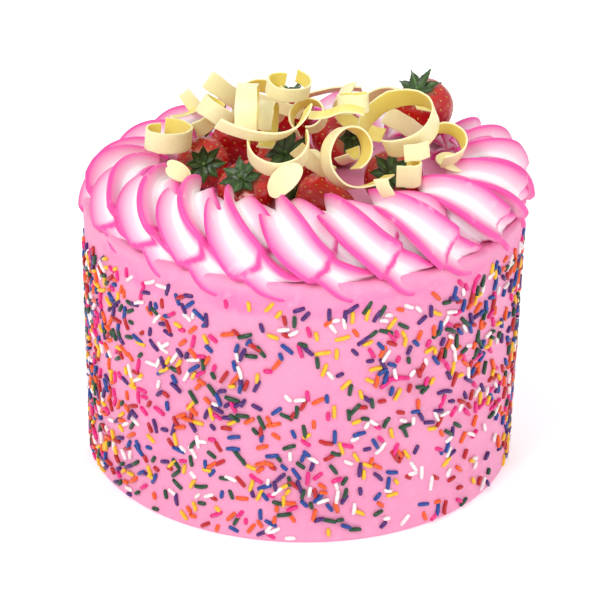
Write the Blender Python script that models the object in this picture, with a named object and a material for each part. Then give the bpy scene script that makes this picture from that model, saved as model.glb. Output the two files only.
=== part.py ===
"""Tall round celebration cake: iced cylinder with sprinkles, piped rope border,
strawberries and white chocolate curls on top. Metres, +Z up, origin at the middle
of the cake's flat base, front of the cake towards -Y."""

import math
import random

import bmesh
import bpy
from mathutils import Matrix, Vector
from mathutils.bvhtree import BVHTree

MM = 0.001
GAP = 0.3 * MM               # clear space between separate pieces
SHARP_ANGLE = math.radians(35)

# Iced cake
BASE_RADIUS = 104.2 * MM     # icing at the foot
SHOULDER_RADIUS = 105.9 * MM  # icing just under the border
SHOULDER_HEIGHT = 126.0 * MM
CAKE_HEIGHT = 134.0 * MM     # flat iced top
TOP_ROUND = 3.0 * MM         # rounding of the top edge
FOOT_ROUND = 1.0 * MM
CAKE_SIDES = 60

# Sprinkles fused on the side
SPRINKLE_ROWS = 6
SPRINKLES_PER_ROW = 14
SPRINKLE_RADIUS = 1.05 * MM
SPRINKLE_LENGTHS = (5.0 * MM, 7.6 * MM)
SPRINKLE_SIDES = 6
SPRINKLE_SINK = 0.25 * MM     # how far a sprinkle's axis lies outside the icing
SPRINKLE_LOW = 7.0 * MM
SPRINKLE_BELOW_ROPE = 26.0 * MM   # the top row under the middle of the rope

# Piped rope border: strokes of a six-finned star nozzle round the top edge
ROPE_RADIUS = 82.5 * MM      # centre line of the rope
ROPE_HEIGHT = 142.5 * MM     # at the front
ROPE_FALL = 19.0 * MM        # the rope sags this much lower at the back
ROPE_INSET = 2.8 * MM        # and lies this much further in at the left
ROPE_CORE = 9.0 * MM
CORE_LOWEST = 132.0 * MM     # the core stays proud of the icing where the rope sags
CORE_STEPS = 42
CORE_SIDES = 8
NOZZLE_FINS = 6
NOZZLE_RADIUS = 16.8 * MM
NOZZLE_VALLEY = 0.56         # valley depth as a share of the fin's radius
STROKE_STEPS = 6
STROKE_ADVANCE = 52.0 * MM   # run of one stroke along the edge
STROKE_ARC_RADIUS = 100.0 * MM  # radius at which the run is measured
STROKE_BACK = 4.0 * MM
STROKE_START = math.radians(118)   # round the rope's section: inside and up
STROKE_END = math.radians(-58)     # outside and down
STROKE_SWING = 10.0 * MM
FIN_LEAD = 5.0 * MM          # how far a fin's tip leads the valley at the start
STROKE_PITCH = 17.0
FRONT_STROKES = (-160, -143, -128, -113, -96, -79, -62, -42)   # degrees, uneven by hand
BACK_STROKES = 13

# Setting down loose pieces
DOWN = Vector((0, 0, -1))
DROP_FROM = 260.0 * MM
SLIDE = Vector((0, 0.925, -0.379))   # chocolate is slid in from the front and above
SLIDE_FROM = 160.0 * MM
SETTLE_STEP = 1.0 * MM
EASE_STEP = 0.15 * MM

# Strawberries: spot in mm, length and radius, lean of the leaf end from upright
# and the azimuth that it leans towards in degrees, number of leaflets
BERRY_SIDES = 10
BERRY_UNEVEN = 0.04
CALYX_SHARE = 0.85
CALYX_STEM = 3.0 * MM
LEAF_THICKNESS = 0.7 * MM
LEAF_BREADTH = 2.8           # all leaflets together, as a share of the star
STRAWBERRIES = (
    ((-49, 5), 27 * MM, 12.5 * MM, 68, -85, 8),
    ((-25, -37), 30 * MM, 14.0 * MM, 38, -115, 7),
    ((-30, 31), 30 * MM, 13.0 * MM, 60, 160, 7),
    ((11, -49), 30 * MM, 14.0 * MM, 80, 170, 7),
    ((15, 39), 31 * MM, 13.5 * MM, 75, -60, 7),
    ((59, 26), 31 * MM, 13.5 * MM, 30, -130, 8),
    ((-8, 0), 30 * MM, 14.5 * MM, 45, -95, 9),
    ((43, -14), 30 * MM, 14.0 * MM, 55, -100, 8),
    ((-8, 53), 29 * MM, 12.5 * MM, 20, 110, 7),
)

# White chocolate. Curls: ribbon stretches as (length mm, turn in degrees), width and
# sideways drift in mm, spot in mm, turns about X, Y and Z in degrees
CURL_THICKNESS = 1.3 * MM
CURL_STEP_TURN = 36.0
CURL_STEP_LENGTH = 12.0
SHAVING_SIDES = 10
SMALL_SHAVINGS = (
    ("shaving_left", 13, 6, 0.8, (-57, 145), (45, 35, 0)),
    ("shaving_pale", 11, 7, 0.6, (-58, 143), (40, 30, 0)),
    ("shaving_right", 15, 9, 1.0, (68, 151), (40, 20, 0)),
    ("shaving_petal", 9, 7, 0.4, (4, 153), (30, 0, 40)),
)
CURLS = (
    ("curl_back_flat", ((28, -25),), 9, 0, (14, 186), (55, -20, 5)),
    ("curl_rear_ring", ((34, 180), (38, 150)), 9, 1, (-22, 178), (25, 10, 0)),
    ("curl_rear_sweep", ((20, 40), (26, 130)), 10, 0, (26, 176), (70, 0, 160)),
    ("curl_broad_back", ((38, -110),), 13, 0, (43, 179), (48, -55, 0)),
    ("curl_right", ((8, 20), (34, 230)), 9, 1, (66, 160), (35, 0, 20)),
    ("curl_inside", ((24, 40),), 9, 0, (47, 169), (-20, 32, 0)),
    ("curl_big_ring", ((48, 180), (50, 160)), 11, 2, (43, 169), (30, 0, -40)),
    ("curl_stub", ((12, 25),), 7, 0, (-57, 180), (10, -125, 0)),
    ("curl_left_tab", ((14, 40),), 9, 0, (-60, 174), (75, 5, 10)),
    ("curl_left_ring", ((32, 190), (34, 150)), 10, 1, (-65, 161), (4, -6, 200)),
    ("curl_long", ((24, 45),), 9, 0, (-39, 185), (-20, 36, 0)),
    ("curl_left_fold", ((18, 80),), 9, 0, (-47, 178), (20, -20, 0)),
    ("curl_yellow", ((26, 190), (26, 140)), 9, 1, (-41, 174), (25, -25, 150)),
    ("curl_top_under", ((26, 30),), 6, 0, (-13, 178), (-10, 22, 0)),
    ("curl_arch_behind", ((38, 200), (14, 60)), 8, 1, (-18, 168), (90, 10, 80)),
    ("curl_arch", ((44, 220), (16, 60)), 10, 2, (-27, 175), (90, 0, 86)),
    ("curl_small_ring", ((22, 180), (24, 160)), 8, 1, (1, 172), (45, 0, -20)),
    ("curl_top_ring", ((28, 185), (30, 150)), 7, 1, (-8, 188), (-6, -10, 180)),
    ("curl_square", ((12, 30), (26, 220)), 9, 1, (22, 179), (15, 0, 190)),
    ("curl_tail", ((12, 40), (14, -60)), 7, 0, (14, 174), (95, 10, 0)),
    ("curl_lower_run", ((22, 30),), 8, 0, (4, 168), (10, 45, 0)),
    ("curl_u_ring", ((26, 110), (26, 110)), 10, 1, (-13, 156), (-10, 30, -110)),
    ("curl_sweep", ((24, 25), (28, 75)), 10, 0, (-19, 172), (42, 28, 0)),
    ("curl_in_hoop", ((18, 150),), 8, 0, (21, 153), (20, 60, 0)),
    ("curl_hoop", ((30, 180), (40, 165), (18, 25)), 10, 3, (22, 152), (66, -10, 35)),
    ("curl_block", ((8, 20), (9, 130), (6, 10)), 11, 0, (48, 149), (0, 0, -10)),
    ("curl_end_tab", ((13, 30),), 8, 0, (51, 156), (-10, -5, 10)),
    ("curl_twist", ((16, 60),), 7, 0, (37, 138), (20, 75, 0)),
)
FRONT_SHAVING = ("shaving_front", 20, 13, 1.5, (-9, 141), (42, -45, 0))


# These stick where they first touch and sink no further
LEANING = ("curl_u_ring", "curl_sweep", "curl_hoop", "curl_inside", "curl_twist", "shaving_front")


def clear_scene():
    for item in list(bpy.data.objects):
        bpy.data.objects.remove(item)


def material(name, colour, roughness):
    finish = bpy.data.materials.new(name)
    finish.use_nodes = True
    shader = finish.node_tree.nodes["Principled BSDF"]
    shader.inputs["Base Color"].default_value = (*colour, 1.0)
    shader.inputs["Roughness"].default_value = roughness
    shader.inputs["Metallic"].default_value = 0.0
    return finish


ICING_FINISH = material("pink_icing", (0.93, 0.40, 0.62), 0.55)
BORDER_FINISH = material("piped_icing", (0.92, 0.55, 0.72), 0.5)
BERRY_FINISH = material("strawberry_red", (0.62, 0.02, 0.02), 0.3)
LEAF_FINISH = material("leaf_green", (0.06, 0.14, 0.02), 0.5)
CHOCOLATE_FINISH = material("white_chocolate", (0.93, 0.83, 0.45), 0.4)


def object_from(bm, name, finish=None, smooth=False):
    bmesh.ops.recalc_face_normals(bm, faces=bm.faces)
    mesh = bpy.data.meshes.new(name)
    bm.to_mesh(mesh)
    bm.free()
    if smooth:
        mesh.shade_smooth()
        mesh.set_sharp_from_angle(angle=SHARP_ANGLE)
    if finish is not None:
        mesh.materials.append(finish)
    result = bpy.data.objects.new(name, mesh)
    bpy.context.scene.collection.objects.link(result)
    return result


def smooth_step(value):
    value = min(max(value, 0.0), 1.0)
    return value * value * (3.0 - 2.0 * value)


def skin_rings(bm, rings):
    """Closed skin over a row of rings with the same number of points."""
    rows = [[bm.verts.new(point) for point in ring] for ring in rings]
    count = len(rows[0])
    for low, high in zip(rows, rows[1:]):
        for i in range(count):
            j = (i + 1) % count
            bm.faces.new((low[i], low[j], high[j], high[i]))
    bm.faces.new(rows[0][::-1])
    bm.faces.new(rows[-1])


def apply_boolean(target, operation, collection=None, cutter=None):
    """Run one Boolean on target, keep its result and remove what it used."""
    step = target.modifiers.new("join", "BOOLEAN")
    step.operation = operation
    step.solver = "EXACT"
    if collection is not None:
        step.operand_type = "COLLECTION"
        step.collection = collection
    else:
        step.object = cutter
    depsgraph = bpy.context.evaluated_depsgraph_get()
    mesh = bpy.data.meshes.new_from_object(target.evaluated_get(depsgraph))
    target.modifiers.clear()
    target.data = mesh
    if collection is not None:
        for item in list(collection.objects):
            bpy.data.objects.remove(item)
        bpy.data.collections.remove(collection)
    else:
        bpy.data.objects.remove(cutter)


def keep_outer_shell(target):
    """Weld hair-thin edges, then keep the shell of the largest volume alone."""
    bm = bmesh.new()
    bm.from_mesh(target.data)
    bmesh.ops.remove_doubles(bm, verts=bm.verts, dist=0.00002)
    bmesh.ops.dissolve_degenerate(bm, edges=bm.edges, dist=0.00001)
    bmesh.ops.triangulate(bm, faces=bm.faces)
    shells = []
    left = set(bm.faces)
    while left:
        shell = set()
        stack = [next(iter(left))]
        while stack:
            face = stack.pop()
            if face in left:
                left.discard(face)
                shell.add(face)
                stack.extend(near for edge in face.edges for near in edge.link_faces if near in left)
        shells.append(shell)
    volumes = [shell_volume(shell) for shell in shells]
    keep = shells[volumes.index(max(volumes))]
    spare = [face for face in bm.faces if face not in keep]
    bmesh.ops.delete(bm, geom=spare, context="FACES")
    bm.to_mesh(target.data)
    bm.free()


def shell_volume(shell):
    total = 0.0
    for face in shell:
        a, b, c = (vert.co for vert in face.verts)
        total += a.dot(b.cross(c)) / 6.0
    return total


# Iced cake with its sprinkles

def side_radius(height):
    share = min(max(height / SHOULDER_HEIGHT, 0.0), 1.0)
    return BASE_RADIUS + (SHOULDER_RADIUS - BASE_RADIUS) * share


def cake_profile(grow=0.0):
    """Half section of the iced cake as (radius, height), pushed out by grow."""
    top = CAKE_HEIGHT + grow
    shoulder = SHOULDER_RADIUS + grow
    rounding = TOP_ROUND + grow
    points = [(BASE_RADIUS - FOOT_ROUND + grow, 0.0)]
    for height in (FOOT_ROUND, 0.5 * SHOULDER_HEIGHT, SHOULDER_HEIGHT):
        points.append((side_radius(height) + grow, height))
    for turn in (0, 30, 60, 90):
        angle = math.radians(turn)
        inset = rounding * (1 - math.cos(angle))
        points.append((shoulder - inset, top - rounding * (1 - math.sin(angle))))
    return points


def turned_solid(bm, profile, sides):
    rings = []
    for radius, height in profile:
        angles = [2 * math.pi * i / sides for i in range(sides)]
        rings.append([(radius * math.cos(a), radius * math.sin(a), height) for a in angles])
    skin_rings(bm, rings)


def sprinkle(bm, azimuth, height, tilt, length):
    """A short rod with blunt ends lying on the icing, half sunk in it."""
    half = length / 2
    out = Matrix.Rotation(azimuth, 4, "Z")
    lie = Matrix.Rotation(tilt, 4, "X")
    place = out @ Matrix.Translation((side_radius(height) + SPRINKLE_SINK, 0, height)) @ lie
    rings = []
    for along in (-half + 0.5 * SPRINKLE_RADIUS, half - 0.5 * SPRINKLE_RADIUS):
        ring = []
        for i in range(SPRINKLE_SIDES):
            angle = 2 * math.pi * (i + 0.5) / SPRINKLE_SIDES
            across = SPRINKLE_RADIUS * Vector((math.cos(angle), math.sin(angle), 0))
            ring.append(place @ (across + Vector((0, 0, along))))
        rings.append(ring)
    low, high = [[bm.verts.new(point) for point in ring] for ring in rings]
    tips = [bm.verts.new(place @ Vector((0, 0, end))) for end in (-half, half)]
    for i in range(SPRINKLE_SIDES):
        j = (i + 1) % SPRINKLE_SIDES
        bm.faces.new((low[i], low[j], high[j], high[i]))
        bm.faces.new((low[j], low[i], tips[0]))
        bm.faces.new((high[i], high[j], tips[1]))


def make_cake_body():
    bm = bmesh.new()
    turned_solid(bm, cake_profile(), CAKE_SIDES)
    body = object_from(bm, "cake_body", ICING_FINISH, smooth=True)
    pool = bpy.data.collections.new("sprinkles")
    bpy.context.scene.collection.children.link(pool)
    draw = random.Random(11)
    for row in range(SPRINKLE_ROWS):
        for column in range(SPRINKLES_PER_ROW):
            step = column + 0.5 * (row % 2) + draw.uniform(-0.22, 0.22)
            azimuth = 2 * math.pi * step / SPRINKLES_PER_ROW
            share = (row + 0.5 + draw.uniform(-0.28, 0.28)) / SPRINKLE_ROWS
            highest = rope_line(azimuth)[1] - SPRINKLE_BELOW_ROPE
            height = SPRINKLE_LOW + (highest - SPRINKLE_LOW) * share
            tilt = math.radians(draw.uniform(-85, 85))
            grain = bmesh.new()
            sprinkle(grain, azimuth, height, tilt, draw.uniform(*SPRINKLE_LENGTHS))
            item = object_from(grain, "sprinkle")
            bpy.context.scene.collection.objects.unlink(item)
            pool.objects.link(item)
    apply_boolean(body, "UNION", collection=pool)
    keep_outer_shell(body)
    body.data.shade_smooth()
    body.data.set_sharp_from_angle(angle=SHARP_ANGLE)
    return body


# Piped rope border

def star_section(valley):
    """Outline of the nozzle's star, fins and valleys in turn, at unit size."""
    points = []
    for k in range(2 * NOZZLE_FINS):
        angle = math.pi * k / NOZZLE_FINS
        reach = 1.0 if k % 2 == 0 else valley
        points.append((reach * math.cos(angle), reach * math.sin(angle)))
    return points


def rope_line(azimuth):
    """Radius and height of the rope's middle, which sags towards the back."""
    behind = math.sin(azimuth - math.radians(15))
    left = max(0.0, -math.cos(azimuth))
    fall = ROPE_FALL * smooth_step((behind + 0.5) / 1.2)
    return ROPE_RADIUS - ROPE_INSET * left * left, ROPE_HEIGHT - fall


def stroke_path(anchor, steps):
    """Centre points of one stroke, from the rope's inner top to its outer foot."""
    points = []
    for i in range(steps):
        share = i / (steps - 1)
        turn = STROKE_START + (STROKE_END - STROKE_START) * (1 - (1 - share) ** 1.7)
        azimuth = anchor + (STROKE_ADVANCE * share ** 1.25 - STROKE_BACK) / STROKE_ARC_RADIUS
        swell = 1.35 - 0.20 * smooth_step(share / 0.4)
        tuck = 1 - 0.35 * smooth_step((share - 0.7) / 0.3)
        swing = STROKE_SWING * swell * tuck
        radius, height = rope_line(azimuth)
        radius += swing * math.cos(turn)
        height += swing * math.sin(turn)
        points.append(Vector((radius * math.cos(azimuth), radius * math.sin(azimuth), height)))
    return points


def stroke_size(share):
    """Nozzle radius along a stroke: blunt start, full middle, thin tucked tail."""
    start = 0.55 + 0.45 * smooth_step(share / 0.30)
    tail = 1 - 0.55 * smooth_step((share - 0.60) / 0.40)
    return NOZZLE_RADIUS * start * tail


def stroke_rings(anchor, steps):
    path = stroke_path(anchor, steps)
    rings = []
    normal = Vector((math.cos(anchor), math.sin(anchor), 0.3))
    for i, point in enumerate(path):
        ahead = path[min(i + 1, steps - 1)]
        behind = path[max(i - 1, 0)]
        tangent = (ahead - behind).normalized()
        normal = (normal - normal.dot(tangent) * tangent).normalized()
        across = tangent.cross(normal)
        share = i / (steps - 1)
        size = stroke_size(share)
        lead = FIN_LEAD * (1 - smooth_step(share / 0.35))
        twist = 0.35 * (share - 0.5)
        ring = []
        for k, (u, v) in enumerate(star_section(NOZZLE_VALLEY)):
            x = u * math.cos(twist) - v * math.sin(twist)
            y = u * math.sin(twist) + v * math.cos(twist)
            spot = point + size * (x * normal + y * across)
            if k % 2 == 0:
                spot = spot - lead * tangent
            ring.append(spot)
        rings.append(ring)
    return rings


def stroke_anchors():
    last = FRONT_STROKES[-1]
    back = [last + STROKE_PITCH * (k + 1) for k in range(BACK_STROKES)]
    return [math.radians(turn) for turn in list(FRONT_STROKES) + back]


def core_mesh():
    """Plain ring that joins the strokes from within."""
    bm = bmesh.new()
    rings = []
    for i in range(CORE_STEPS):
        azimuth = 2 * math.pi * i / CORE_STEPS
        middle, level = rope_line(azimuth)
        ring = []
        for k in range(CORE_SIDES):
            angle = 2 * math.pi * k / CORE_SIDES
            radius = middle + ROPE_CORE * math.cos(angle)
            height = max(level, CORE_LOWEST) + ROPE_CORE * math.sin(angle)
            ring.append(bm.verts.new((radius * math.cos(azimuth), radius * math.sin(azimuth), height)))
        rings.append(ring)
    for low, high in zip(rings, rings[1:] + rings[:1]):
        for k in range(CORE_SIDES):
            after = (k + 1) % CORE_SIDES
            bm.faces.new((low[k], low[after], high[after], high[k]))
    return bm


def make_border():
    border = object_from(core_mesh(), "piped_border", BORDER_FINISH)
    pool = bpy.data.collections.new("strokes")
    bpy.context.scene.collection.children.link(pool)
    for anchor in stroke_anchors():
        stroke = bmesh.new()
        skin_rings(stroke, stroke_rings(anchor, STROKE_STEPS))
        item = object_from(stroke, "stroke")
        bpy.context.scene.collection.objects.unlink(item)
        pool.objects.link(item)
    apply_boolean(border, "UNION", collection=pool)
    keep_outer_shell(border)
    seat = bmesh.new()
    turned_solid(seat, cake_profile(GAP), CAKE_SIDES)
    apply_boolean(border, "DIFFERENCE", cutter=object_from(seat, "seat"))
    keep_outer_shell(border)
    return border


# Strawberries

def berry_profile(length, radius):
    """Half section from the leaf end down to the tip, as (radius, depth)."""
    shares = ((0.36, 0.0), (0.80, 0.07), (1.0, 0.26), (0.94, 0.50), (0.64, 0.77), (0.27, 0.95))
    return [(radius * across, -length * along) for across, along in shares]


def berry_mesh(length, radius, draw):
    bm = bmesh.new()
    rings = []
    for across, height in berry_profile(length, radius):
        ring = []
        for i in range(BERRY_SIDES):
            angle = 2 * math.pi * i / BERRY_SIDES
            reach = across * (1 + BERRY_UNEVEN * draw.uniform(-1, 1))
            ring.append(Vector((reach * math.cos(angle), reach * math.sin(angle), height)))
        rings.append(ring)
    skin_rings(bm, rings)
    return bm


def leaflet_points(azimuth, length, breadth, lift, curl):
    """Three stations of a leaflet: root, widest part and tip, with a sunk rib."""
    out = Vector((math.cos(azimuth), math.sin(azimuth), 0))
    side = Vector((-math.sin(azimuth), math.cos(azimuth), 0))
    up = Vector((0, 0, 1))
    middle = out * (0.52 * length) + up * (lift * 0.45 * length)
    tip = out * length + up * (lift * length + curl)
    wing = side * (0.5 * breadth)
    return middle - wing + up * 0.5 * MM, middle, middle + wing + up * 0.5 * MM, tip


def calyx_mesh(size, leaflets, draw):
    """Star of thin wavy leaflets round a short stem, as one closed solid."""
    bm = bmesh.new()
    faces = []
    points = [Vector((0, 0, CALYX_STEM))]
    root = 0.30 * size
    for k in range(leaflets):
        azimuth = 2 * math.pi * (k + draw.uniform(-0.06, 0.06)) / leaflets
        valley = azimuth + math.pi / leaflets
        reach = size * draw.uniform(0.82, 1.12)
        first = len(points)
        lift = draw.uniform(0.0, 0.55)
        curl = draw.uniform(-1.5, 2.5) * MM
        points += leaflet_points(azimuth, reach, LEAF_BREADTH * size / leaflets, lift, curl)
        points.append(Vector((root * math.cos(valley), root * math.sin(valley), 0.4 * MM)))
        before = first - 1 if k else 5 * leaflets
        left, middle, right, tip, after = range(first, first + 5)
        faces += [(0, before, middle), (before, left, middle), (left, tip, middle)]
        faces += [(tip, right, middle), (right, after, middle), (after, 0, middle)]
    top = [bm.verts.new(point) for point in points]
    below = [Vector((0, 0, 0))] + points[1:]
    low = [bm.verts.new(point - Vector((0, 0, LEAF_THICKNESS))) for point in below]
    for a, b, c in faces:
        bm.faces.new((top[a], top[b], top[c]))
        bm.faces.new((low[c], low[b], low[a]))
    for k in range(leaflets):
        first = 5 * k + 1
        before = first - 1 if k else 5 * leaflets
        rim = (before, first, first + 3, first + 2, first + 4)
        for a, b in zip(rim, rim[1:]):
            bm.faces.new((top[b], top[a], low[a]))
            bm.faces.new((top[b], low[a], low[b]))
    return bm


def make_strawberry(number, spot, length, radius, lean, towards, leaflets, heap):
    """Berry and leaf star; lean tips the leaf end from upright towards an azimuth."""
    draw = random.Random(100 + number)
    tip_over = Matrix.Rotation(math.radians(towards), 4, "Z") @ Matrix.Rotation(math.radians(lean), 4, "Y")
    bm = berry_mesh(length, radius, draw)
    bmesh.ops.transform(bm, matrix=tip_over, verts=bm.verts)
    berry = object_from(bm, f"strawberry_{number}", BERRY_FINISH, smooth=True)
    bm = calyx_mesh(CALYX_SHARE * radius, leaflets, draw)
    lift = Matrix.Translation((0, 0, GAP + LEAF_THICKNESS))
    bmesh.ops.transform(bm, matrix=tip_over @ lift, verts=bm.verts)
    leaves = object_from(bm, f"strawberry_leaves_{number}", LEAF_FINISH)
    middle = tip_over @ Vector((0, 0, -0.5 * length))
    shift = Matrix.Translation((spot[0] * MM - middle.x, spot[1] * MM - middle.y, DROP_FROM))
    for item in (berry, leaves):
        item.data.transform(shift)
    heap.push([berry, leaves], DOWN)
    heap.add([berry, leaves])


# White chocolate curls and shavings

def ribbon_path(bends, drift):
    """Points of a ribbon's middle in the XY plane, from (length, turn) stretches."""
    spot = Vector((0.0, 0.0, 0.0))
    heading = 0.0
    points = [spot.copy()]
    total = sum(length for length, turn in bends)
    for length, turn in bends:
        pieces = max(1, math.ceil(max(abs(turn) / CURL_STEP_TURN, length / CURL_STEP_LENGTH)))
        for _ in range(pieces):
            heading += math.radians(turn) / pieces / 2
            stretch = length * MM / pieces
            spot += Vector((math.cos(heading), math.sin(heading), 0)) * stretch
            spot.z += drift * MM * length / total / pieces
            heading += math.radians(turn) / pieces / 2
            points.append(spot.copy())
    return points


def ribbon_mesh(bends, width, drift):
    path = ribbon_path(bends, drift)
    bm = bmesh.new()
    rings = []
    for i, point in enumerate(path):
        along = (path[min(i + 1, len(path) - 1)] - path[max(i - 1, 0)])
        along.z = 0
        out = Vector((along.y, -along.x, 0)).normalized() * (CURL_THICKNESS / 2)
        half = Vector((0, 0, width * MM / 2))
        rings.append([point + out - half, point + out + half, point - out + half, point - out - half])
    skin_rings(bm, rings)
    low = Vector([min(v.co[i] for v in bm.verts) for i in range(3)])
    high = Vector([max(v.co[i] for v in bm.verts) for i in range(3)])
    bmesh.ops.translate(bm, vec=-(low + high) / 2, verts=bm.verts)
    return bm


def shaving_mesh(length, width, bow):
    """Flat oval shaving, a little bowed along its length."""
    bm = bmesh.new()
    rings = []
    for level in (-0.5, 0.5):
        ring = []
        for i in range(SHAVING_SIDES):
            angle = 2 * math.pi * i / SHAVING_SIDES
            x = 0.5 * length * MM * math.cos(angle)
            y = 0.5 * width * MM * math.sin(angle)
            ring.append(Vector((x, y, level * CURL_THICKNESS - bow * MM * math.cos(angle) ** 2)))
        rings.append(ring)
    skin_rings(bm, rings)
    bmesh.ops.triangulate(bm, faces=bm.faces)
    return bm


def place_loose(bm, name, spot, turns, heap):
    """Turn a piece about X, Y and Z in that order and set it down on the heap.

    It slides in from the front and above until it meets something, then down; spot
    is (x, height) in mm where its middle would cross the cake's middle plane."""
    pose = Matrix.Identity(4)
    for axis, turn in zip("XYZ", turns):
        pose = Matrix.Rotation(math.radians(turn), 4, axis) @ pose
    bmesh.ops.transform(bm, matrix=pose, verts=bm.verts)
    start = Vector((spot[0], 0, spot[1])) * MM - SLIDE * SLIDE_FROM
    bmesh.ops.translate(bm, vec=start, verts=bm.verts)
    item = object_from(bm, name, CHOCOLATE_FINISH)
    heap.push([item], SLIDE)
    if name not in LEANING:
        heap.push([item], DOWN)
    heap.add([item])


# Setting down a loose piece against what is already there

def surface_points(item):
    mesh = item.data
    points = [vert.co.copy() for vert in mesh.vertices]
    for edge in mesh.edges:
        a, b = (mesh.vertices[i].co for i in edge.vertices)
        pieces = max(1, int((b - a).length / SETTLE_STEP))
        points += [a.lerp(b, k / pieces) for k in range(1, pieces)]
    return points


def tree_of(items):
    vertices = []
    polygons = []
    for item in items:
        first = len(vertices)
        vertices += [vert.co.copy() for vert in item.data.vertices]
        polygons += [[first + i for i in face.vertices] for face in item.data.polygons]
    return BVHTree.FromPolygons(vertices, polygons)


class Heap:
    """What lies on the cake so far, with its points and its search tree."""

    def __init__(self, items):
        self.items = []
        self.points = []
        self.add(items)

    def add(self, items):
        self.items += items
        for item in items:
            self.points += surface_points(item)
        self.tree = tree_of(self.items)

    def free_run(self, items, direction):
        """How far items can travel along direction before they meet the heap."""
        own = tree_of(items)
        runs = []
        for item in items:
            for point in surface_points(item):
                distance = self.tree.ray_cast(point, direction)[3]
                runs.append(distance)
        for point in self.points:
            runs.append(own.ray_cast(point, -direction)[3])
        runs = [run for run in runs if run is not None]
        return min(runs) if runs else None

    def is_clear(self, items):
        own = tree_of(items)
        if own.overlap(self.tree):
            return False
        for item in items:
            for point in surface_points(item):
                if self.tree.find_nearest(point, GAP)[0] is not None:
                    return False
        corners = [vert.co for item in items for vert in item.data.vertices]
        low = [min(corner[i] for corner in corners) - GAP for i in range(3)]
        high = [max(corner[i] for corner in corners) + GAP for i in range(3)]
        near = [p for p in self.points if all(low[i] < p[i] < high[i] for i in range(3))]
        return all(own.find_nearest(point, GAP)[0] is None for point in near)

    def push(self, items, direction):
        """Move items along direction until they nearly touch, then ease back."""
        run = self.free_run(items, direction)
        if run is None:
            return
        move(items, direction * (run - GAP))
        while not self.is_clear(items):
            move(items, -direction * EASE_STEP)


def move(items, shift):
    for item in items:
        item.data.transform(Matrix.Translation(shift))


def make_toppings(heap):
    for number, berry in enumerate(STRAWBERRIES, start=1):
        make_strawberry(number, *berry, heap)
    for name, length, width, bow, spot, turns in SMALL_SHAVINGS:
        place_loose(shaving_mesh(length, width, bow), name, spot, turns, heap)
    for name, bends, width, drift, spot, turns in CURLS:
        place_loose(ribbon_mesh(bends, width, drift), name, spot, turns, heap)
    name, length, width, bow, spot, turns = FRONT_SHAVING
    place_loose(shaving_mesh(length, width, bow), name, spot, turns, heap)


def main():
    clear_scene()
    body = make_cake_body()
    border = make_border()
    make_toppings(Heap([body, border]))


main()
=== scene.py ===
"""Looks of a tall iced celebration cake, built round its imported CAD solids.

Each operator models one kind of piece: the iced side, its sprinkles, the piped rope
border, the strawberries with their leaves, and the white chocolate curls and shavings."""

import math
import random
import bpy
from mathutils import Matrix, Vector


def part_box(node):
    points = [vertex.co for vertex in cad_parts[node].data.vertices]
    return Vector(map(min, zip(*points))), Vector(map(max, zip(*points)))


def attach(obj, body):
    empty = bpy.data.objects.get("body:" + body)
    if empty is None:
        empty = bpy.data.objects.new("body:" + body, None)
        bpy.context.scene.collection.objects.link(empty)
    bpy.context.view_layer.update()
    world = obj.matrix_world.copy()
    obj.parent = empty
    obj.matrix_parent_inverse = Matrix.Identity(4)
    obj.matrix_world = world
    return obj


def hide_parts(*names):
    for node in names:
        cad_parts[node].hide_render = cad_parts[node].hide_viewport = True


bl_info = {
    "name": "Iced Celebration Cake",
    "version": (1, 0, 0),
    "blender": (4, 5, 0),
    "location": "3D View > Sidebar > Cake",
    "description": "Icing, sprinkles, piped border, strawberries and chocolate curls",
    "category": "Mesh",
}

import bmesh
import bpy
from bpy.props import FloatProperty, FloatVectorProperty, IntProperty, PointerProperty
from mathutils import Matrix, Quaternion, Vector, noise
from mathutils.kdtree import KDTree

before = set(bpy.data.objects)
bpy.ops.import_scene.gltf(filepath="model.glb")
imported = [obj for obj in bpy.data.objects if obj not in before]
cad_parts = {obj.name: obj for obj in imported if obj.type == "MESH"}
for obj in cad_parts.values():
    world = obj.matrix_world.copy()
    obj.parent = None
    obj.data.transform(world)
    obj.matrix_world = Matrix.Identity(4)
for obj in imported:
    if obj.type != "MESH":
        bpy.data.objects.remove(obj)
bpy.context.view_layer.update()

MM = 0.001

# The cake's own measures, the same as its solids have
BASE_RADIUS = 104.2 * MM
SHOULDER_RADIUS = 105.9 * MM
SHOULDER_HEIGHT = 126.0 * MM
CAKE_HEIGHT = 134.0 * MM
TOP_ROUND = 3.0 * MM
FOOT_ROUND = 1.0 * MM

SPRINKLE_ROWS = 6
SPRINKLES_PER_ROW = 14
SPRINKLE_SINK = 0.25 * MM
SPRINKLE_LOW = 7.0 * MM
SPRINKLE_BELOW_ROPE = 26.0 * MM
SPRINKLE_LENGTHS = (5.0 * MM, 7.6 * MM)
SPRINKLE_SPACING = 2.5 * MM
SPRINKLE_TRIES = 60000       # spots that are drawn at most
SPRINKLE_SHORTEST = 3.6      # mm
SPRINKLE_LONGEST = 7.6

ROPE_RADIUS = 82.5 * MM
ROPE_HEIGHT = 142.5 * MM
ROPE_FALL = 19.0 * MM
ROPE_INSET = 2.8 * MM
NOZZLE_FINS = 6
NOZZLE_RADIUS = 16.8 * MM
STROKE_ADVANCE = 52.0 * MM
STROKE_ARC_RADIUS = 100.0 * MM
STROKE_BACK = 4.0 * MM
STROKE_START = math.radians(118)
STROKE_END = math.radians(-58)
STROKE_SWING = 10.0 * MM
STROKE_PITCH = 17.0
TIER_END = 0.54              # where a squeeze's upper tier ends, as a share of the stroke
TIER_OUT = 4.0 * MM          # how far the lower tier stands out and hangs at its end
TIER_DROOP = 2.5 * MM
STEPS_ACROSS = 72            # mesh steps round and along one stroke
STEPS_ALONG = 62
FRONT_STROKES = (-160, -143, -128, -113, -96, -79, -62, -42)
BACK_STROKES = 13

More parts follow.
